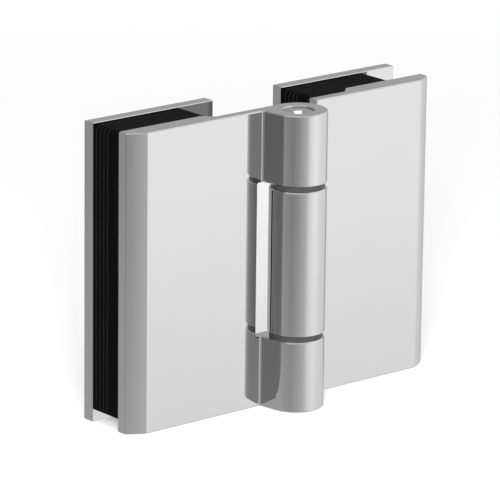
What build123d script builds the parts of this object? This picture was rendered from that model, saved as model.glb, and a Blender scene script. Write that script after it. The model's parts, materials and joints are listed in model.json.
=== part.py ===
"""Glass-to-glass bifold hinge.

Two polished leaves clamp two panes and fold about one upright pin. The left leaf
carries the end knuckles, the right leaf the middle knuckle. Each leaf has a flat
back plate, held by two countersunk screws through a stack of rubber layers.

Frame: X across the leaves, Y from the barrel towards the back plates, Z up.
The origin is under the middle of the whole hinge, on the surface it stands on.
"""

import os
from math import cos, radians, sin

from build123d import *

os.makedirs("parts", exist_ok=True)

# Driving sizes, in millimetres
plate_height = 90.0        # height of leaves, back plates and barrel
half_width = 57.5          # pin axis to the outer end of a leaf
barrel_r = 8.5             # outer radius of the knuckles
face_setback = 5.0         # front face of a leaf, behind the pin axis
clamp_t = 6.5              # thickness of a leaf where it clamps the pane
clamp_start = 27.5         # pin axis to the start of the full thickness
edge_run = 5.5             # crowned bevel at the outer end, measured across the face
edge_drop = 3.4            # crowned bevel at the outer end, measured into the end
edge_crown = 0.25          # how far that bevel swells over a flat one
end_round = 1.0            # rounded front corner of the outer end, seen from above
wall_slant = 8.0           # degrees by which the barrel's wall leans out towards the leaf
web_r = 0.8                # hollow fillet between that wall and the front face
edge_break = 0.35          # broken edges of the leaves
plate_break = 0.2          # broken edges of the back plates
mouth_break = 0.3          # chamfer at the mouths of the pin bore

end_knuckle_h = 21.5       # height of the top and bottom knuckles
window_land = 1.02         # front face left between that fillet and a window's edge
window_corner_r = 0.7      # inner corners of the windows

washer_t = 1.45            # thrust washer thickness
washer_play = 0.05         # axial play beside each washer
washer_inset = 0.6         # washer edge inside the barrel surface

pin_d = 9.0                # hinge pin diameter
pin_recess = 0.05          # top of the domed pin end below the barrel's end face
pin_crown = 0.45           # rise of that dome
pin_chamfer = 0.3          # chamfer round the dome
running_clearance = 0.05   # pin to bush and pin to washer, on the radius
passing_clearance = 0.3    # pin to the middle of its bore, on the radius

bush_wall = 0.95           # bush wall
bush_length = 15.0

gasket_pad_t = 5.0         # thick rubber layer against the leaf
gasket_sheet_t = 1.75      # thin rubber layers behind it
gasket_sheets = 4          # thin layers in each slot
gasket_width = 33.5
gasket_height = 86.25
gasket_top_gap = 0.5       # top of the layers below the top of the plates
gasket_slide = 5.5         # how far the loose layers have slid to the left
gasket_corner_r = 2.0
gasket_edge_r = 0.4        # rounded edges of a layer

back_t = 4.0               # back plate thickness
back_width = 44.5          # back plate, from the outer end inwards

screw_d = 6.0              # clamp screws
screw_pitch = 54.0         # between the two screws of a leaf
screw_engage = 4.0         # thread inside the leaf
screw_head_d = 12.0
screw_sink = 0.15          # head below the back plate's face
tap_runout = 0.7           # tapped hole past the screw's end
screw_hole_clearance = 0.3  # screw to back plate, on the radius
gasket_hole_clearance = 0.5  # screw to gasket, on the radius
head_clearance = 0.05      # head cone to its countersink
socket_af = 4.0            # hexagon socket across flats
socket_depth = 2.2

same_size = 1e-6           # two sizes nearer than this are one size

# Positions that follow from the sizes, with Y measured from the pin axis
neck_back = barrel_r
clamp_back = face_setback + clamp_t
bevel = clamp_back - neck_back
gasket_stack = [gasket_pad_t] + [gasket_sheet_t for sheet in range(gasket_sheets)]
back_inner = clamp_back + sum(gasket_stack)
back_outer = back_inner + back_t
axis_y = -(back_outer - barrel_r) / 2
mid_low = end_knuckle_h + washer_t + washer_play
mid_high = plate_height - mid_low
pin_r = pin_d / 2
pin_low = pin_recess + pin_crown
pin_high = plate_height - pin_low
bush_inner_r = pin_r + running_clearance
bush_outer_r = bush_inner_r + bush_wall
back_centre_x = half_width - back_width / 2
gasket_z = plate_height - gasket_top_gap - gasket_height / 2
screw_low = plate_height / 2 - screw_pitch / 2
screw_high = plate_height / 2 + screw_pitch / 2
head_h = (screw_head_d - screw_d) / 2
screw_top = back_outer - screw_sink
screw_tip = clamp_back - screw_engage
slant = radians(wall_slant)
web_y = face_setback - web_r
web_x = (barrel_r + web_r + web_y * sin(slant)) / cos(slant)
window_x = web_x + window_land
web_turn = radians(135) - slant / 2
barrel_turn = radians(135) + slant / 2


def at(side, x, y):
    """A plan point on the left (-1) or right (1), with Y from the pin axis."""
    return (side * x, axis_y + y)


def leaf_plan(side):
    """Outline edges of a leaf with its barrel, seen from above."""
    face_point = at(side, web_x, face_setback)
    web_mid = at(side, web_x + web_r * cos(web_turn), web_y + web_r * sin(web_turn))
    wall_point = at(side, web_x - web_r * cos(slant), web_y + web_r * sin(slant))
    barrel_start = at(side, barrel_r * cos(slant), -barrel_r * sin(slant))
    barrel_mid = at(side, barrel_r * cos(barrel_turn), -barrel_r * sin(barrel_turn))
    with BuildLine() as outline:
        ThreePointArc(face_point, web_mid, wall_point)
        Line(wall_point, barrel_start)
        ThreePointArc(barrel_start, barrel_mid, at(side, 0, barrel_r))
        Polyline(
            at(side, 0, barrel_r),
            at(side, clamp_start - bevel, neck_back),
            at(side, clamp_start, clamp_back),
            at(side, half_width, clamp_back),
            at(side, half_width, face_setback + edge_drop),
        )
        SagittaArc(
            at(side, half_width - edge_run, face_setback),
            at(side, half_width, face_setback + edge_drop),
            -side * edge_crown,
        )
        Line(at(side, half_width - edge_run, face_setback), face_point)
    return outline.edges()


def front_plane(y):
    """Upright plane facing the viewer, Y measured from the pin axis."""
    return Plane(origin=(0, axis_y + y, 0), x_dir=(1, 0, 0), z_dir=(0, -1, 0))


def screw_points(side):
    """Centres of a leaf's two screws, on an upright plane."""
    return [(side * back_centre_x, screw_low), (side * back_centre_x, screw_high)]


def round_edges(edges, radius):
    """The circular edges of one radius."""
    return edges.filter_by(GeomType.CIRCLE).filter_by(lambda e: abs(e.radius - radius) < same_size)


def knuckle_rims(edges, heights):
    """The barrel's outer arcs on the knuckle ends that face a washer."""
    arcs = round_edges(edges, barrel_r)
    return arcs.filter_by(lambda e: min(abs(e.center().Z - h) for h in heights) < same_size)


pin_axis = Axis((0, axis_y, 0), (0, 0, 1))
window_reach = 2 * window_x
window_depth = 2 * (barrel_r + clamp_back)

# Left leaf: full-height section with a window for the middle knuckle
with BuildPart() as left_leaf:
    with BuildSketch() as left_plan:
        make_face(leaf_plan(-1))
        fillet(left_plan.vertices().group_by(Axis.X)[0].sort_by(Axis.Y)[0], end_round)
        fillet(left_plan.vertices().group_by(Axis.X)[0].sort_by(Axis.Y)[-1], edge_break)
    extrude(amount=plate_height)
    with BuildSketch(front_plane(0)) as left_window:
        with Locations((-window_x, plate_height / 2)):
            Rectangle(window_reach, plate_height - 2 * end_knuckle_h, align=(Align.MIN, Align.CENTER))
        fillet(left_window.vertices().group_by(Axis.X)[0], window_corner_r)
    extrude(amount=window_depth / 2, both=True, mode=Mode.SUBTRACT)
    chamfer(left_leaf.faces().sort_by(Axis.Z)[-1].edges(), edge_break)
    chamfer(left_leaf.faces().sort_by(Axis.Z)[0].edges(), edge_break)
    chamfer(knuckle_rims(left_leaf.edges(), (end_knuckle_h, plate_height - end_knuckle_h)), edge_break)
    with Locations((0, axis_y, plate_height)):
        Hole(pin_r)
    bore_edges = round_edges(left_leaf.edges(), pin_r).sort_by(Axis.Z)
    chamfer([bore_edges[0], bore_edges[-1]], mouth_break)
    with BuildSketch(front_plane(clamp_back)):
        with Locations(*screw_points(-1)):
            Circle(screw_d / 2)
    extrude(amount=screw_engage + tap_runout, mode=Mode.SUBTRACT)
left_leaf.part.label = "left_leaf"
export_step(left_leaf.part, "parts/left_leaf.step")

# Right leaf: the same section, with windows for the end knuckles
with BuildPart() as right_leaf:
    with BuildSketch() as right_plan:
        make_face(leaf_plan(1))
        fillet(right_plan.vertices().group_by(Axis.X)[-1].sort_by(Axis.Y)[0], end_round)
        fillet(right_plan.vertices().group_by(Axis.X)[-1].sort_by(Axis.Y)[-1], edge_break)
    extrude(amount=plate_height)
    with BuildSketch(front_plane(0)) as low_window:
        with Locations((window_x, mid_low)):
            Rectangle(window_reach, mid_low + window_land, align=(Align.MAX, Align.MAX))
        fillet(low_window.vertices().group_by(Axis.X)[-1].sort_by(Axis.Z)[-1], window_corner_r)
    extrude(amount=window_depth / 2, both=True, mode=Mode.SUBTRACT)
    with BuildSketch(front_plane(0)) as high_window:
        with Locations((window_x, mid_high)):
            Rectangle(window_reach, mid_low + window_land, align=(Align.MAX, Align.MIN))
        fillet(high_window.vertices().group_by(Axis.X)[-1].sort_by(Axis.Z)[0], window_corner_r)
    extrude(amount=window_depth / 2, both=True, mode=Mode.SUBTRACT)
    chamfer(right_leaf.faces().sort_by(Axis.Z)[-1].edges(), edge_break)
    chamfer(right_leaf.faces().sort_by(Axis.Z)[0].edges(), edge_break)
    chamfer(knuckle_rims(right_leaf.edges(), (mid_low, mid_high)), edge_break)
    with Locations((0, axis_y, mid_high)):
        CounterBoreHole(pin_r + passing_clearance, bush_outer_r, bush_length)
    with Locations((0, axis_y, mid_low)):
        Cylinder(bush_outer_r, bush_length, align=(Align.CENTER, Align.CENTER, Align.MIN), mode=Mode.SUBTRACT)
    with BuildSketch(front_plane(clamp_back)):
        with Locations(*screw_points(1)):
            Circle(screw_d / 2)
    extrude(amount=screw_engage + tap_runout, mode=Mode.SUBTRACT)
right_leaf.part.label = "right_leaf"
export_step(right_leaf.part, "parts/right_leaf.step")

# Pin with domed ends
with BuildPart() as hinge_pin:
    with BuildSketch(front_plane(0)):
        with BuildLine():
            TangentArc((0, pin_recess), (pin_r - pin_chamfer, pin_low), tangent=(1, 0))
            Polyline(
                (pin_r - pin_chamfer, pin_low),
                (pin_r, pin_low + pin_chamfer),
                (pin_r, pin_high - pin_chamfer),
                (pin_r - pin_chamfer, pin_high),
            )
            TangentArc((0, plate_height - pin_recess), (pin_r - pin_chamfer, pin_high), tangent=(1, 0))
            Line((0, plate_height - pin_recess), (0, pin_recess))
        make_face()
    revolve(axis=pin_axis)
hinge_pin.part.label = "hinge_pin"
export_step(hinge_pin.part, "parts/hinge_pin.step")

# Thrust washers, each lying on an end knuckle
for name, base in (("lower_washer", end_knuckle_h), ("upper_washer", mid_high + washer_play)):
    with BuildPart() as washer:
        with BuildSketch(Plane.XY.offset(base)):
            with Locations((0, axis_y)):
                Circle(barrel_r - washer_inset)
                Circle(pin_r + running_clearance, mode=Mode.SUBTRACT)
        extrude(amount=washer_t)
    washer.part.label = name
    export_step(washer.part, f"parts/{name}.step")

# Bushes, pressed into both ends of the middle knuckle
for name, base in (("lower_bush", mid_low), ("upper_bush", mid_high - bush_length)):
    with BuildPart() as bush:
        with BuildSketch(Plane.XY.offset(base)):
            with Locations((0, axis_y)):
                Circle(bush_outer_r)
                Circle(bush_inner_r, mode=Mode.SUBTRACT)
        extrude(amount=bush_length)
    bush.part.label = name
    export_step(bush.part, f"parts/{name}.step")

for side_name, side in (("left", -1), ("right", 1)):
    # Flat back plate with two countersunk holes
    with BuildPart() as back_plate:
        with BuildSketch(front_plane(back_inner)):
            with Locations((side * back_centre_x, plate_height / 2)):
                Rectangle(back_width, plate_height)
        extrude(amount=-back_t)
        chamfer(back_plate.edges(), plate_break)
        with Locations(Plane(origin=(0, axis_y + back_outer, 0), x_dir=(-1, 0, 0), z_dir=(0, 1, 0))):
            with Locations(*[(-x, z) for x, z in screw_points(side)]):
                CounterSinkHole(
                    screw_d / 2 + screw_hole_clearance,
                    screw_head_d / 2 + screw_sink + head_clearance,
                    counter_sink_angle=90,
                )
    back_plate.part.label = f"{side_name}_back_plate"
    export_step(back_plate.part, f"parts/{side_name}_back_plate.step")

    # Rubber layers with long holes, numbered from the leaf to the back plate
    gasket_x = side * back_centre_x - gasket_slide
    for layer, thickness in enumerate(gasket_stack):
        with BuildPart() as gasket:
            with BuildSketch(front_plane(clamp_back + sum(gasket_stack[:layer]))):
                with Locations((gasket_x, gasket_z)):
                    RectangleRounded(gasket_width, gasket_height, gasket_corner_r)
                with Locations((gasket_x, screw_low), (gasket_x, screw_high)):
                    hole_d = screw_d + 2 * gasket_hole_clearance
                    SlotCenterToCenter(2 * gasket_slide, hole_d, mode=Mode.SUBTRACT)
            extrude(amount=-thickness)
            sides = gasket.faces().filter_by(Axis.Y)
            fillet([e for f in sides for e in f.outer_wire().edges()], gasket_edge_r)
        gasket.part.label = f"{side_name}_gasket_{layer + 1}"
        export_step(gasket.part, f"parts/{side_name}_gasket_{layer + 1}.step")

    # Countersunk screws with a hexagon socket
    for height_name, (x, z) in zip(("lower", "upper"), screw_points(side)):
        with BuildPart() as screw:
            with BuildSketch(Plane(origin=(x, axis_y, z), x_dir=(1, 0, 0), z_dir=(0, 0, 1))):
                with BuildLine():
                    Polyline(
                        (0, screw_tip),
                        (screw_d / 2, screw_tip),
                        (screw_d / 2, screw_top - head_h),
                        (screw_head_d / 2, screw_top),
                        (0, screw_top),
                        close=True,
                    )
                make_face()
            revolve(axis=Axis((x, axis_y, z), (0, 1, 0)))
            with BuildSketch(Plane(origin=(x, axis_y + screw_top, z), x_dir=(-1, 0, 0), z_dir=(0, 1, 0))):
                RegularPolygon(socket_af / 2, 6, major_radius=False)
            extrude(amount=-socket_depth, mode=Mode.SUBTRACT)
        screw.part.label = f"{side_name}_{height_name}_screw"
        export_step(screw.part, f"parts/{side_name}_{height_name}_screw.step")
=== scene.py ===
"""Looks of a glass-to-glass bifold hinge.

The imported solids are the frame. Polished chrome, black rubber and grey plastic
dress them. The pin and the clamp screws are modelled anew, with domed ends and
threads, and a pale studio is mirrored in the chrome.
"""

import json
from math import cos, pi, radians, sin, sqrt

import bmesh
import bpy
from bpy.props import FloatProperty, FloatVectorProperty, IntProperty, PointerProperty
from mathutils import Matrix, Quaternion, Vector


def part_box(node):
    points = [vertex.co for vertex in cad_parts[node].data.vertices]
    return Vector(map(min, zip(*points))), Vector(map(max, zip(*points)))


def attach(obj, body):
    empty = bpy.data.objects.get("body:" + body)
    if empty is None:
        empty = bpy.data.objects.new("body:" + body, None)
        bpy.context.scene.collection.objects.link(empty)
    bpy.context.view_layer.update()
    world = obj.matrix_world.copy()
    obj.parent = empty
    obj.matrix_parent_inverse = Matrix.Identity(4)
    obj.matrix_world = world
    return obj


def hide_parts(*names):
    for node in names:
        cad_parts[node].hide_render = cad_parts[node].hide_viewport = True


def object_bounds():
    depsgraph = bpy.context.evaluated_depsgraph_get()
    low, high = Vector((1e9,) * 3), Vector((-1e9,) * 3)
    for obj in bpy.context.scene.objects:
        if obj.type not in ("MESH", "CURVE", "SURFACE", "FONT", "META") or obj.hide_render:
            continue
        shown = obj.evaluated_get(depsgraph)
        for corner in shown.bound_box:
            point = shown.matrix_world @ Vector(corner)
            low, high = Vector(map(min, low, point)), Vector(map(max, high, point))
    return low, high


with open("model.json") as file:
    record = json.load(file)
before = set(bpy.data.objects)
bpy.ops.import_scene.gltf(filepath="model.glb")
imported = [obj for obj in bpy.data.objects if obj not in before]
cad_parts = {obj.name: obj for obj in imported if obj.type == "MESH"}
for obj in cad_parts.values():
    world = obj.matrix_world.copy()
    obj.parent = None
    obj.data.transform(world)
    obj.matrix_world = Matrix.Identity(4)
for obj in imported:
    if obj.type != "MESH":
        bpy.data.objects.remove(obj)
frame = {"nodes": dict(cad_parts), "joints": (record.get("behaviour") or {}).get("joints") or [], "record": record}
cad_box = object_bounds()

bl_info = {
    "name": "Bifold Glass Hinge",
    "version": (1, 0, 0),
    "blender": (4, 5, 0),
    "location": "3D View > Sidebar > Hinge",
    "description": "Finishes the pieces of a glass-to-glass bifold hinge and sets its studio",
    "category": "Object",
}

MM = 0.001
PIN_AXIS = Vector(frame["joints"][0]["pos_m"])

CHROME_PIECES = ("left_leaf", "right_leaf", "left_back_plate", "right_back_plate")
RUBBER_PIECES = tuple(n for n in sorted(frame["nodes"]) if "gasket" in n)
PLASTIC_PIECES = ("lower_washer", "upper_washer", "lower_bush", "upper_bush")
SCREW_PIECES = tuple(n for n in sorted(frame["nodes"]) if n.endswith("_screw"))

# Brightness of the studio round the hinge: bearing in degrees from the front, left positive
STUDIO_WALLS = (
    (90, 0.29),
    (60, 0.23),
    (40, 0.31),
    (25, 0.41),
    (8, 0.54),
    (-10, 0.94),
    (-33, 1.14),
    (-61, 0.95),
    (-92, 0.87),
    (-130, 0.45),
    (-180, 0.36),
    (-220, 0.32),
    (-252, 0.35),
    (-270, 0.29),
)
# Colours stop at 1, so the studio's are shares of this brightness
WALL_PEAK = 1.25
# Place of the front in a radial gradient, in turns
FRONT_TURN = 0.25
# Degrees above the horizon between which the floor turns into the walls, and the walls into the ceiling
FLOOR_EDGE = (-28, -12)
CEILING_EDGE = (50, 68)
# A ray's glossy depth is 1 in a reflection and 2 in a reflection of one
FIRST_REFLECTION = 1.5

DOME_RINGS = 10
THREAD_STEPS = 48
SPARE_TURNS = 2
SMOOTH_ANGLE = radians(28)
# A face with more of its normal along Z than this is an end of a bar
LEVEL_ENOUGH = 0.5
# Length of one wave of a wave texture at scale 1
WAVE_LENGTH = pi / 10


class HingeFinish(bpy.types.PropertyGroup):
    """Colours and textures of the hinge's materials"""

    chrome_colour: FloatVectorProperty(
        name="Chrome", description="Colour of the polished plating",
        subtype="COLOR", size=3, min=0.0, max=1.0, default=(0.72, 0.72, 0.725),
    )
    chrome_haze: FloatProperty(
        name="Chrome haze", description="Roughness of the polished plating",
        subtype="FACTOR", min=0.0, max=1.0, default=0.045,
    )
    rubber_colour: FloatVectorProperty(
        name="Rubber", description="Colour of the rubber layers",
        subtype="COLOR", size=3, min=0.0, max=1.0, default=(0.0020, 0.0020, 0.0021),
    )
    # Painted highlight: a paler colour painted along the rubber layers' edges, where light would catch them
    rubber_edge_highlight_colour: FloatVectorProperty(
        name="Rubber edges", description="Colour of the layers' cut edges",
        subtype="COLOR", size=3, min=0.0, max=1.0, default=(0.014, 0.014, 0.0145),
    )
    # Width of the painted highlight along each rubber layer's edge
    rubber_edge: FloatProperty(
        name="Edge width", description="Width of the pale edge of a rubber layer",
        subtype="DISTANCE", min=0.00001, default=0.3 * MM,
    )
    plastic_colour: FloatVectorProperty(
        name="Plastic", description="Colour of the washers and bushes",
        subtype="COLOR", size=3, min=0.0, max=1.0, default=(0.045, 0.045, 0.047),
    )
    steel_colour: FloatVectorProperty(
        name="Steel", description="Colour of the pin and the screws",
        subtype="COLOR", size=3, min=0.0, max=1.0, default=(0.62, 0.62, 0.62),
    )
    pin_polish: FloatProperty(
        name="Pin polish", description="How much of the lathe marks polishing has taken off the pin",
        subtype="FACTOR", min=0.0, max=1.0, default=0.75,
    )
    ring_pitch: FloatProperty(
        name="Turning marks", description="Distance between the marks left by the lathe",
        subtype="DISTANCE", min=0.00001, default=0.754 * MM,
    )


class HingeFasteners(bpy.types.PropertyGroup):
    """Sizes of the pin and the clamp screws that their boxes don't give"""

    pin_crown: FloatProperty(
        name="Pin crown", description="Rise of the domed pin ends",
        subtype="DISTANCE", min=0.00001, default=0.45 * MM,
    )
    pin_chamfer: FloatProperty(
        name="Pin chamfer", description="Chamfer round the domed pin ends",
        subtype="DISTANCE", min=0.00001, default=0.3 * MM,
    )
    thread_d: FloatProperty(
        name="Thread", description="Outer diameter of the clamp screws' thread",
        subtype="DISTANCE", min=0.001, default=5.96 * MM,
    )
    thread_pitch: FloatProperty(
        name="Pitch", description="Rise of the thread in one turn",
        subtype="DISTANCE", min=0.0001, default=1.0 * MM,
    )
    thread_depth: FloatProperty(
        name="Thread depth", description="Crest to root of the thread",
        subtype="DISTANCE", min=0.0001, default=0.61 * MM,
    )
    thread_length: FloatProperty(
        name="Thread length", description="Length of the thread from the screw's tip",
        subtype="DISTANCE", min=0.001, default=14.0 * MM,
    )
    head_height: FloatProperty(
        name="Head height", description="Height of the countersunk head",
        subtype="DISTANCE", min=0.001, default=3.0 * MM,
    )
    head_edge: FloatProperty(
        name="Head edge", description="Chamfer of the head's rim",
        subtype="DISTANCE", min=0.0, default=0.2 * MM,
    )
    socket_width: FloatProperty(
        name="Socket", description="Hexagon socket across flats",
        subtype="DISTANCE", min=0.001, default=4.0 * MM,
    )
    socket_depth: FloatProperty(
        name="Socket depth", description="Depth of the hexagon socket",
        subtype="DISTANCE", min=0.0005, default=2.2 * MM,
    )
    sides: IntProperty(
        name="Sides", description="Sides of the turned pieces",
        min=24, default=96,
    )


class HingeStudio(bpy.types.PropertyGroup):
    """Camera and light of the studio"""

    floor_size: FloatProperty(
        name="Floor", description="Side of the square floor",
        subtype="DISTANCE", min=0.1, default=6.0,
    )
    floor_colour: FloatVectorProperty(
        name="Floor colour", description="Colour of the floor and the backdrop",
        subtype="COLOR", size=3, min=0.0, max=1.0, default=(1.0, 1.0, 1.0),
    )
    floor_glow: FloatProperty(
        name="Floor level", description="Brightness of the lit floor as polished metal sees it",
        min=0.0, default=0.60,
    )
    ceiling_glow: FloatProperty(
        name="Ceiling level", description="Brightness of the ceiling as polished metal sees it",
        min=0.0, default=0.62,
    )
    echo_share: FloatProperty(
        name="Second reflections", description="Brightness of the studio in a reflection of a reflection",
        subtype="FACTOR", min=0.0, max=1.0, default=0.72,
    )
    shadow_share: FloatProperty(
        name="Shadow", description="How much of the hinge's shadow the floor shows",
        subtype="FACTOR", min=0.0, max=1.0, default=0.6,
    )
    shadow_reach: FloatProperty(
        name="Shadow reach", description="Distance at which the floor shows no more shadow",
        subtype="DISTANCE", min=0.01, default=0.5,
    )
    ambient: FloatProperty(
        name="Ambient", description="Soft light from all sides",
        min=0.0, default=0.50,
    )
    target: FloatVectorProperty(
        name="Aim", description="Point the camera looks at",
        subtype="TRANSLATION", size=3, default=(-10.168 * MM, -0.209 * MM, 47.155 * MM),
    )
    bearing: FloatProperty(
        name="Bearing", description="Camera's bearing from the front, left negative",
        subtype="ANGLE", default=radians(-39.831),
    )
    elevation: FloatProperty(
        name="Elevation", description="Camera's angle above the floor",
        subtype="ANGLE", default=radians(16.092),
    )
    roll: FloatProperty(
        name="Roll", description="Camera's turn about its own line of sight",
        subtype="ANGLE", default=radians(0.668),
    )
    distance: FloatProperty(
        name="Distance", description="Camera to aim",
        subtype="DISTANCE", min=0.1, default=1273.06 * MM,
    )
    lens: FloatProperty(
        name="Lens", description="Focal length in millimetres",
        min=1.0, default=312.7,
    )


def feed(tree, socket, value):
    """Gives an input a plain value or another node's output."""
    if isinstance(value, bpy.types.NodeSocket):
        tree.links.new(value, socket)
    else:
        socket.default_value = value


def set_inputs(tree, node, **inputs):
    """Feeds a node's inputs by name, where _ stands for a space."""
    for name, value in inputs.items():
        feed(tree, node.inputs[name.replace("_", " ")], value)


def add_node(tree, kind, **inputs):
    """A node with its inputs fed by name."""
    node = tree.nodes.new(kind)
    set_inputs(tree, node, **inputs)
    return node


def new_finish(name):
    """A material with a Principled shader, and the Object coordinates to drive it."""
    finish = bpy.data.materials.new(name)
    finish.use_nodes = True
    tree = finish.node_tree
    shader = tree.nodes["Principled BSDF"]
    coords = tree.nodes.new("ShaderNodeTexCoord").outputs["Object"]
    return finish, tree, shader, coords


def mapped(tree, coords, location=(0, 0, 0), scale=(1, 1, 1)):
    """Coordinates moved and stretched by a Mapping node."""
    node = add_node(tree, "ShaderNodeMapping", Vector=coords, Location=location, Scale=scale)
    return node.outputs["Vector"]


def noise(tree, coords, scale, detail=2.0):
    """Noise from 0 to 1, with features about one over scale across."""
    node = add_node(tree, "ShaderNodeTexNoise", Vector=coords, Scale=scale, Detail=detail)
    return node.outputs["Fac"]


def turning_marks(tree, coords, axis, pitch):
    """Fine rings about an axis through the coordinates' origin."""
    node = add_node(
        tree, "ShaderNodeTexWave", Vector=coords, Scale=WAVE_LENGTH / pitch, Distortion=0.6, Detail=1.0
    )
    node.wave_type = "RINGS"
    node.rings_direction = axis
    return node.outputs["Fac"]


def ranged(tree, value, low, high):
    """A value from 0 to 1 spread between two limits."""
    node = add_node(tree, "ShaderNodeMapRange", Value=value, To_Min=low, To_Max=high)
    return node.outputs["Result"]


def eased(tree, value, low, high):
    """A value that rises smoothly from 0 to 1 between two limits."""
    node = add_node(tree, "ShaderNodeMapRange", Value=value, From_Min=low, From_Max=high)
    node.interpolation_type = "SMOOTHSTEP"
    return node.outputs["Result"]


def reckoned(tree, operation, first, second):
    """The result of a Math node."""
    node = tree.nodes.new("ShaderNodeMath")
    node.operation = operation
    feed(tree, node.inputs[0], first)
    feed(tree, node.inputs[1], second)
    return node.outputs["Value"]


def grey(level):
    """A grey with its alpha."""
    return (level, level, level, 1)


def shaded(colour, share):
    """A colour made darker or lighter by a share, with its alpha."""
    return (*(min(1.0, c * share) for c in colour), 1)


def blended(tree, share, first, second):
    """A colour between two."""
    node = tree.nodes.new("ShaderNodeMix")
    node.data_type = "RGBA"
    set_inputs(tree, node, Factor=share, A=first, B=second)
    return node.outputs["Result"]


def mottled(tree, patches, colour, dark, light):
    """A colour that goes from a dark to a light share of itself with the patches."""
    return blended(tree, patches, shaded(colour, dark), shaded(colour, light))


def ramped(tree, value, marks):
    """Greys along a value from 0 to 1, by marks of place and level."""
    ramp = add_node(tree, "ShaderNodeValToRGB", Fac=value)
    stops = ramp.color_ramp.elements
    while len(stops) < len(marks):
        stops.new(0.5)
    for stop, (place, level) in zip(stops, marks):
        stop.position = place
        stop.color = grey(level)
    return ramp.outputs["Color"]


def bumped(tree, height, distance, strength, below=None):
    """A bump on the surface, laid over an earlier one."""
    node = add_node(tree, "ShaderNodeBump", Height=height, Distance=distance, Strength=strength)
    if below is not None:
        tree.links.new(below, node.inputs["Normal"])
    return node.outputs["Normal"]


def mixed(tree, share, first, second):
    """A shader between two."""
    node = add_node(tree, "ShaderNodeMixShader", Fac=share)
    tree.links.new(first, node.inputs[1])
    tree.links.new(second, node.inputs[2])
    return node.outputs["Shader"]


def chrome_finish(settings):
    """Mirror-polished plating with a faint swell and polishing haze."""
    finish, tree, shader, coords = new_finish("polished_chrome")
    cloud = noise(tree, coords, scale=45.0)
    swell = noise(tree, coords, scale=60.0, detail=0.0)
    hairs = noise(tree, mapped(tree, coords, scale=(0.05, 0.05, 1.0)), scale=3500.0)
    plating = bumped(tree, swell, distance=0.02 * MM, strength=0.10)
    set_inputs(
        tree, shader,
        Base_Color=mottled(tree, cloud, settings.chrome_colour, dark=0.985, light=1.015),
        Roughness=ranged(tree, cloud, low=0.7 * settings.chrome_haze, high=1.3 * settings.chrome_haze),
        Normal=bumped(tree, hairs, distance=0.002 * MM, strength=0.05, below=plating),
        Metallic=1.0,
    )
    return finish


def layer_edge_highlight(tree, coords, width):
    """Mask of the highlight painted on the rubber layers' edges: 1 on the edges, falling to 0 within a width that
    wavers a little.
    """
    limits = sorted({round(limit.y, 6) for name in RUBBER_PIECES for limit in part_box(name)})
    start = limits[0] - width
    depth = limits[-1] + width - start
    across = add_node(tree, "ShaderNodeSeparateXYZ", Vector=coords).outputs["Y"]
    waver = ranged(tree, noise(tree, coords, scale=70.0), low=-width / 2, high=width / 2)
    place = reckoned(tree, "ADD", across, waver)
    share = add_node(tree, "ShaderNodeMapRange", Value=place, From_Min=start, From_Max=start + depth)
    marks = [
        ((limit + side * width - start) / depth, level)
        for limit in limits
        for side, level in ((-1, 0), (0, 1), (1, 0))
    ]
    return ramped(tree, share.outputs["Result"], marks)


def rubber_finish(settings):
    """Black rubber sheet with a fine grain, and a highlight painted as a paler colour along the layers' edges."""
    finish, tree, shader, coords = new_finish("black_rubber")
    patches = noise(tree, coords, scale=260.0)
    grain = noise(tree, coords, scale=3200.0, detail=3.0)
    streaks = noise(tree, mapped(tree, coords, scale=(1.0, 1.0, 0.04)), scale=900.0)
    edges = layer_edge_highlight(tree, coords, settings.rubber_edge)
    sheet_colour = mottled(tree, patches, settings.rubber_colour, dark=0.7, light=1.5)
    cut = bumped(tree, streaks, distance=0.06 * MM, strength=0.35)
    set_inputs(
        tree, shader,
        # Painted highlight: the base colour turns to the paler highlight colour along the layers' edges
        Base_Color=blended(tree, edges, sheet_colour, (*settings.rubber_edge_highlight_colour, 1)),
        Roughness=ranged(tree, patches, low=0.50, high=0.66),
        Normal=bumped(tree, grain, distance=0.03 * MM, strength=0.30, below=cut),
        Specular_IOR_Level=0.02,
    )
    return finish


def plastic_finish(settings):
    """Dark grey plastic with turning marks round the pin."""
    finish, tree, shader, coords = new_finish("grey_plastic")
    patches = noise(tree, coords, scale=400.0)
    rings = turning_marks(tree, mapped(tree, coords, location=tuple(-PIN_AXIS)), "Z", settings.ring_pitch)
    set_inputs(
        tree, shader,
        Base_Color=mottled(tree, patches, settings.plastic_colour, dark=0.85, light=1.15),
        Roughness=ranged(tree, patches, low=0.28, high=0.38),
        Normal=bumped(tree, rings, distance=0.01 * MM, strength=0.2),
    )
    return finish


def steel_finish(settings, name, axis, centre, polish=0.0):
    """Bright turned steel, with lathe marks about the piece's own axis that polishing takes off."""
    finish, tree, shader, coords = new_finish(name)
    cloud = noise(tree, coords, scale=300.0)
    rings = turning_marks(tree, mapped(tree, coords, location=tuple(-centre)), axis, settings.ring_pitch)
    rough = 1.0 - polish
    set_inputs(
        tree, shader,
        Base_Color=mottled(tree, cloud, settings.steel_colour, dark=0.94, light=1.06),
        Roughness=ranged(tree, cloud, low=0.16 * rough, high=0.26 * rough),
        Normal=bumped(tree, rings, distance=0.01 * MM, strength=0.15 * rough),
        Metallic=1.0,
    )
    return finish


def wear(names, finish):
    """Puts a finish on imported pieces."""
    for name in names:
        for slot in frame["nodes"][name].material_slots:
            slot.material = finish


class HINGE_OT_polish_chrome(bpy.types.Operator):
    """Polish the leaves and the back plates"""

    bl_idname = "hinge.polish_chrome"
    bl_label = "Polish leaves and back plates"

    def execute(self, context):
        wear(CHROME_PIECES, chrome_finish(context.scene.hinge_finish))
        return {"FINISHED"}


class HINGE_OT_lay_rubber(bpy.types.Operator):
    """Finish the rubber layers in both slots"""

    bl_idname = "hinge.lay_rubber"
    bl_label = "Finish rubber layers"

    def execute(self, context):
        wear(RUBBER_PIECES, rubber_finish(context.scene.hinge_finish))
        return {"FINISHED"}


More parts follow.
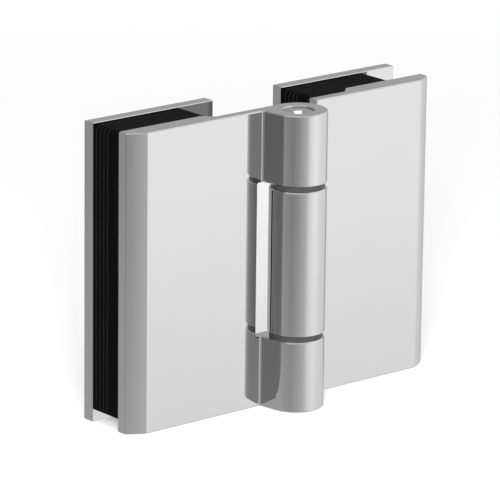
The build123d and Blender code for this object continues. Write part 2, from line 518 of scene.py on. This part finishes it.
class HINGE_OT_turn_rings(bpy.types.Operator):
    """Finish the washers and the bushes round the pin"""

    bl_idname = "hinge.turn_rings"
    bl_label = "Finish washers and bushes"

    def execute(self, context):
        wear(PLASTIC_PIECES, plastic_finish(context.scene.hinge_finish))
        return {"FINISHED"}


def pick_only(piece):
    """Makes a piece the only selected one, and the active one."""
    bpy.ops.object.select_all(action="DESELECT")
    piece.select_set(True)
    bpy.context.view_layer.objects.active = piece


def pick_end(end):
    """Selects only the flat end of the bar in edit mode, its top for 1 and its bottom for -1."""
    bpy.ops.mesh.select_mode(type="FACE")
    bpy.ops.mesh.select_all(action="DESELECT")
    mesh = bpy.context.object.data
    shape = bmesh.from_edit_mesh(mesh)
    for face in shape.faces:
        face.select_set(face.normal.z * end > LEVEL_ENOUGH)
    bmesh.update_edit_mesh(mesh)


def add_bar(sides, radius, bottom, height):
    """A round or many-sided bar about the Z axis, left in edit mode."""
    bpy.ops.object.select_all(action="DESELECT")
    bpy.ops.mesh.primitive_cylinder_add(
        vertices=sides, radius=radius, depth=height, location=(0, 0, bottom + height / 2)
    )
    bpy.ops.object.mode_set(mode="EDIT")
    return bpy.context.object


def settle(piece):
    """Puts a piece's place into its mesh and smooths its round faces."""
    pick_only(piece)
    bpy.ops.object.transform_apply(location=True, rotation=True, scale=True)
    bpy.ops.object.shade_smooth_by_angle(angle=SMOOTH_ANGLE)


def seat(piece, node, finish):
    """Hides a packed piece and puts a new one on its body, with the finish it is given."""
    bodies = frame["record"]["behaviour"]["bodies"]
    piece.data.materials.clear()
    piece.data.materials.append(finish)
    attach(piece, next(body for body, members in bodies.items() if node in members))
    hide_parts(node)


def raise_dome(rim, crown, end):
    """Turns the selected end face of a round bar into a dome, ring by ring."""
    ball = (rim**2 + crown**2) / (2 * crown)
    step = rim / DOME_RINGS
    height = 0.0
    for ring in range(1, DOME_RINGS):
        bpy.ops.mesh.inset(thickness=step)
        level = sqrt(ball**2 - (rim - ring * step) ** 2) - (ball - crown)
        bpy.ops.transform.translate(value=(0, 0, end * (level - height)))
        height = level
    bpy.ops.mesh.select_mode(type="VERT")
    bpy.ops.mesh.merge(type="CENTER")
    bpy.ops.transform.translate(value=(0, 0, end * (crown - height)))


class HINGE_OT_turn_pin(bpy.types.Operator):
    """Turn the hinge pin with its domed ends"""

    bl_idname = "hinge.turn_pin"
    bl_label = "Turn pin"

    def execute(self, context):
        sizes = context.scene.hinge_fasteners
        finish = context.scene.hinge_finish
        low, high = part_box("hinge_pin")
        middle = (low + high) / 2
        radius = (high.x - low.x) / 2
        straight = high.z - low.z - 2 * (sizes.pin_crown + sizes.pin_chamfer)
        pin = add_bar(sizes.sides, radius, middle.z - straight / 2, straight)
        pin.name = "domed_pin"
        for end in (1, -1):
            pick_end(end)
            bpy.ops.mesh.inset(thickness=sizes.pin_chamfer)
            bpy.ops.transform.translate(value=(0, 0, end * sizes.pin_chamfer))
            raise_dome(radius - sizes.pin_chamfer, sizes.pin_crown, end)
        bpy.ops.object.mode_set(mode="OBJECT")
        pin.location = middle
        settle(pin)
        seat(pin, "hinge_pin", steel_finish(finish, "pin_steel", "Z", PIN_AXIS, polish=finish.pin_polish))
        return {"FINISHED"}


def thread_profile(sizes):
    """Radius and height of one turn of the thread, from root to root, with flats at root and crest."""
    pitch = sizes.thread_pitch
    crest = sizes.thread_d / 2
    root = crest - sizes.thread_depth
    root_flat = pitch / 4
    crest_flat = pitch / 8
    flank = (pitch - root_flat - crest_flat) / 2
    return (
        (root, 0.0),
        (root, root_flat),
        (crest, root_flat + flank),
        (crest, root_flat + flank + crest_flat),
        (root, pitch),
    )


def threaded_bar(sizes):
    """A bar with a thread along it, standing on its tip at the origin."""
    pitch = sizes.thread_pitch
    weld = pitch / 1000
    profile = thread_profile(sizes)
    bpy.ops.object.select_all(action="DESELECT")
    bpy.ops.mesh.primitive_circle_add(vertices=len(profile), fill_type="NOTHING")
    bar = bpy.context.object
    for vertex, (radius, height) in zip(bar.data.vertices, profile):
        vertex.co = (radius, 0, height - pitch)

    # The ring of points becomes an open line, which turns and rises past both ends of the thread
    bpy.ops.object.mode_set(mode="EDIT")
    bpy.ops.mesh.select_mode(type="EDGE")
    bpy.ops.mesh.select_all(action="DESELECT")
    shape = bmesh.from_edit_mesh(bar.data)
    for edge in shape.edges:
        edge.select_set({v.index for v in edge.verts} == {0, len(profile) - 1})
    bmesh.update_edit_mesh(bar.data)
    bpy.ops.mesh.delete(type="EDGE")
    bpy.ops.object.mode_set(mode="OBJECT")
    bpy.ops.object.modifier_add(type="SCREW")
    turn = bar.modifiers[-1]
    turn.screw_offset = pitch
    turn.iterations = round(sizes.thread_length / pitch) + SPARE_TURNS
    turn.steps = turn.render_steps = THREAD_STEPS
    turn.use_merge_vertices = True
    turn.merge_threshold = weld
    bpy.ops.object.modifier_apply(modifier=turn.name)

    # Both ends are cut flat and closed
    bpy.ops.object.mode_set(mode="EDIT")
    for height, upward in ((0.0, -1), (sizes.thread_length, 1)):
        bpy.ops.mesh.select_all(action="SELECT")
        bpy.ops.mesh.bisect(
            plane_co=(0, 0, height), plane_no=(0, 0, upward), use_fill=True, clear_outer=True,
            threshold=weld / 10,
        )
    bpy.ops.mesh.select_all(action="SELECT")
    bpy.ops.mesh.remove_doubles(threshold=weld)
    bpy.ops.mesh.normals_make_consistent(inside=False)
    bpy.ops.object.mode_set(mode="OBJECT")
    return bar


def sunk_head(sizes, length, head_d):
    """The plain neck, a little thinner than the thread, and the countersunk head."""
    bottom = sizes.thread_length - sizes.thread_pitch
    neck = length - sizes.head_height - bottom
    neck_r = sizes.thread_d / 2 - sizes.thread_depth / 4
    cone_share = head_d / 2 / neck_r
    rim_share = 1 - 2 * sizes.head_edge / head_d
    head = add_bar(sizes.sides, neck_r, bottom, neck)
    pick_end(1)
    for rise, share in ((sizes.head_height - sizes.head_edge, cone_share), (sizes.head_edge, rim_share)):
        bpy.ops.mesh.extrude_region_move(TRANSFORM_OT_translate={"value": (0, 0, rise)})
        bpy.ops.transform.resize(value=(share, share, 1))
    bpy.ops.object.mode_set(mode="OBJECT")
    return head


def socket_cutter(sizes, length):
    """A hexagon punch with a drilled point, as deep as the socket."""
    width = sizes.socket_width
    past = sizes.head_height
    corner_r = width / 2 / cos(radians(30))
    floor_edge, point_r, point_depth = width / 16, width / 4, width / 8
    punch = add_bar(6, corner_r, length - sizes.socket_depth, sizes.socket_depth + past)
    pick_end(-1)
    bpy.ops.mesh.inset(thickness=floor_edge)
    bpy.ops.mesh.inset(thickness=point_r)
    bpy.ops.transform.translate(value=(0, 0, -point_depth))
    bpy.ops.object.mode_set(mode="OBJECT")
    return punch


def combine(piece, tool, way):
    """Adds a tool's shape to a piece or cuts it out, and removes the tool."""
    pick_only(piece)
    bpy.ops.object.modifier_add(type="BOOLEAN")
    step = piece.modifiers[-1]
    step.operation = way
    step.object = tool
    step.solver = "EXACT"
    bpy.ops.object.modifier_apply(modifier=step.name)
    bpy.data.objects.remove(tool)


class HINGE_OT_cut_screws(bpy.types.Operator):
    """Cut the four clamp screws with thread and hexagon socket"""

    bl_idname = "hinge.cut_screws"
    bl_label = "Cut clamp screws"

    def execute(self, context):
        sizes = context.scene.hinge_fasteners
        low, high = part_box(SCREW_PIECES[0])
        length = high.y - low.y
        pattern = threaded_bar(sizes)
        combine(pattern, sunk_head(sizes, length, high.x - low.x), "UNION")
        combine(pattern, socket_cutter(sizes, length), "DIFFERENCE")
        for name in SCREW_PIECES:
            low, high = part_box(name)
            middle = (low + high) / 2
            pick_only(pattern)
            bpy.ops.object.duplicate()
            screw = context.object
            screw.name = f"threaded_{name}"
            screw.rotation_euler = (radians(-90), 0, 0)
            screw.location = (middle.x, low.y, middle.z)
            settle(screw)
            seat(screw, name, steel_finish(context.scene.hinge_finish, f"{name}_steel", "Y", middle))
        bpy.data.objects.remove(pattern)
        return {"FINISHED"}


def studio_levels(tree, settings):
    """How bright the studio is in each direction, as a share of its peak."""
    direction = tree.nodes.new("ShaderNodeTexCoord").outputs["Generated"]
    around = add_node(tree, "ShaderNodeTexGradient", Vector=direction)
    around.gradient_type = "RADIAL"
    marks = [(FRONT_TURN - bearing / 360, level / WALL_PEAK) for bearing, level in STUDIO_WALLS]
    walls = ramped(tree, around.outputs["Fac"], marks)
    height = add_node(tree, "ShaderNodeSeparateXYZ", Vector=direction).outputs["Z"]
    above_floor = eased(tree, height, *(sin(radians(angle)) for angle in FLOOR_EDGE))
    above_walls = eased(tree, height, *(sin(radians(angle)) for angle in CEILING_EDGE))
    lower = blended(tree, above_floor, grey(settings.floor_glow / WALL_PEAK), walls)
    return blended(tree, above_walls, lower, grey(settings.ceiling_glow / WALL_PEAK))


def studio_world(settings):
    """A white backdrop for the camera, and pale to grey walls for polished metal."""
    world = bpy.data.worlds.new("studio")
    bpy.context.scene.world = world
    world.use_nodes = True
    tree = world.node_tree
    tree.nodes.clear()
    white = (*settings.floor_colour, 1)
    rays = tree.nodes.new("ShaderNodeLightPath").outputs
    again = reckoned(tree, "GREATER_THAN", rays["Glossy Depth"], FIRST_REFLECTION)
    strength = ranged(tree, again, low=WALL_PEAK, high=WALL_PEAK * settings.echo_share)
    studio = add_node(tree, "ShaderNodeBackground", Color=studio_levels(tree, settings), Strength=strength)
    ambient = add_node(tree, "ShaderNodeBackground", Color=white, Strength=settings.ambient)
    backdrop = add_node(tree, "ShaderNodeBackground", Color=white, Strength=1.0)
    mirrored = reckoned(tree, "MAXIMUM", rays["Is Glossy Ray"], rays["Is Transmission Ray"])
    lit = mixed(tree, mirrored, ambient.outputs["Background"], studio.outputs["Background"])
    seen = mixed(tree, rays["Is Camera Ray"], lit, backdrop.outputs["Background"])
    add_node(tree, "ShaderNodeOutputWorld", Surface=seen)


def floor_finish(settings):
    """White floor that keeps a soft shadow near the hinge."""
    finish = bpy.data.materials.new("studio_floor")
    finish.use_nodes = True
    tree = finish.node_tree
    tree.nodes.clear()
    white = (*settings.floor_colour, 1)
    matt = add_node(tree, "ShaderNodeBsdfDiffuse", Color=white).outputs["BSDF"]
    glow = add_node(tree, "ShaderNodeEmission", Color=white, Strength=1.0).outputs["Emission"]
    away = tree.nodes.new("ShaderNodeVectorMath")
    away.operation = "LENGTH"
    tree.links.new(tree.nodes.new("ShaderNodeTexCoord").outputs["Object"], away.inputs[0])
    fade = add_node(
        tree, "ShaderNodeMapRange", Value=away.outputs["Value"], To_Min=1.0 - settings.shadow_share,
        From_Min=settings.shadow_reach / 2, From_Max=settings.shadow_reach,
    )
    pale = mixed(tree, fade.outputs["Result"], matt, glow)
    rays = tree.nodes.new("ShaderNodeLightPath").outputs
    seen = mixed(tree, rays["Is Camera Ray"], matt, pale)
    add_node(tree, "ShaderNodeOutputMaterial", Surface=seen)
    return finish


def add_lamp(name, place, width, height, watts, mirrored=False):
    """A soft lamp aimed at the middle of the hinge, which polished metal may show."""
    middle = (cad_box[0] + cad_box[1]) / 2
    bpy.ops.object.light_add(type="AREA", location=place)
    lamp = bpy.context.object
    lamp.name = name
    lamp.rotation_mode = "QUATERNION"
    lamp.rotation_quaternion = (middle - Vector(place)).to_track_quat("-Z", "Y")
    lamp.data.shape = "RECTANGLE"
    lamp.data.size = width
    lamp.data.size_y = height
    lamp.data.energy = watts
    lamp.visible_glossy = mirrored


def add_camera(settings):
    """The camera at the photograph's viewing angle."""
    turn, lift = settings.bearing, settings.elevation
    back = Vector((sin(turn) * cos(lift), -cos(turn) * cos(lift), sin(lift)))
    bpy.ops.object.camera_add(location=Vector(settings.target) + back * settings.distance)
    camera = bpy.context.object
    camera.rotation_mode = "QUATERNION"
    camera.rotation_quaternion = (-back).to_track_quat("-Z", "Y") @ Quaternion((0, 0, 1), settings.roll)
    camera.data.lens = settings.lens
    bpy.context.scene.camera = camera


class HINGE_OT_set_stage(bpy.types.Operator):
    """Set the floor, the light and the camera"""

    bl_idname = "hinge.set_stage"
    bl_label = "Set the studio"

    def execute(self, context):
        settings = context.scene.hinge_studio
        bpy.ops.mesh.primitive_plane_add(size=settings.floor_size, location=(0, 0, cad_box[0].z))
        floor = context.object
        floor.name = "studio_floor"
        floor.visible_glossy = False
        floor.data.materials.append(floor_finish(settings))
        studio_world(settings)
        add_lamp("key_lamp", place=(-0.84, -1.01, 0.58), width=0.4, height=0.4, watts=22.0)
        add_lamp("fill_lamp", place=(-0.53, -0.63, 1.0), width=0.8, height=0.8, watts=7.0)
        # Narrow and tall, so that the pin's dome shows it as a small spot
        add_lamp(
            "back_lamp", place=(0.547, 0.650, 0.605), width=0.085, height=0.30, watts=0.2, mirrored=True
        )
        add_camera(settings)
        context.scene.view_settings.view_transform = "Standard"
        return {"FINISHED"}


class HINGE_PT_panel(bpy.types.Panel):
    """Lists the steps that finish the hinge"""

    bl_label = "Bifold hinge"
    bl_idname = "HINGE_PT_panel"
    bl_space_type = "VIEW_3D"
    bl_region_type = "UI"
    bl_category = "Hinge"

    def draw(self, context):
        for step in STEPS:
            self.layout.operator(step.bl_idname)
        scene = context.scene
        for group in (scene.hinge_finish, scene.hinge_fasteners, scene.hinge_studio):
            column = self.layout.column()
            for name in group.__annotations__:
                column.prop(group, name)


STEPS = (
    HINGE_OT_polish_chrome,
    HINGE_OT_lay_rubber,
    HINGE_OT_turn_rings,
    HINGE_OT_turn_pin,
    HINGE_OT_cut_screws,
    HINGE_OT_set_stage,
)
CLASSES = (HingeFinish, HingeFasteners, HingeStudio, *STEPS, HINGE_PT_panel)


def register():
    for item in CLASSES:
        bpy.utils.register_class(item)
    bpy.types.Scene.hinge_finish = PointerProperty(type=HingeFinish)
    bpy.types.Scene.hinge_fasteners = PointerProperty(type=HingeFasteners)
    bpy.types.Scene.hinge_studio = PointerProperty(type=HingeStudio)


def unregister():
    del bpy.types.Scene.hinge_studio
    del bpy.types.Scene.hinge_fasteners
    del bpy.types.Scene.hinge_finish
    for item in reversed(CLASSES):
        bpy.utils.unregister_class(item)


def main():
    register()
    bpy.ops.object.select_all(action="DESELECT")
    bpy.ops.hinge.polish_chrome()
    bpy.ops.hinge.lay_rubber()
    bpy.ops.hinge.turn_rings()
    bpy.ops.hinge.turn_pin()
    bpy.ops.hinge.cut_screws()
    bpy.ops.hinge.set_stage()


if __name__ == "__main__":
    main()
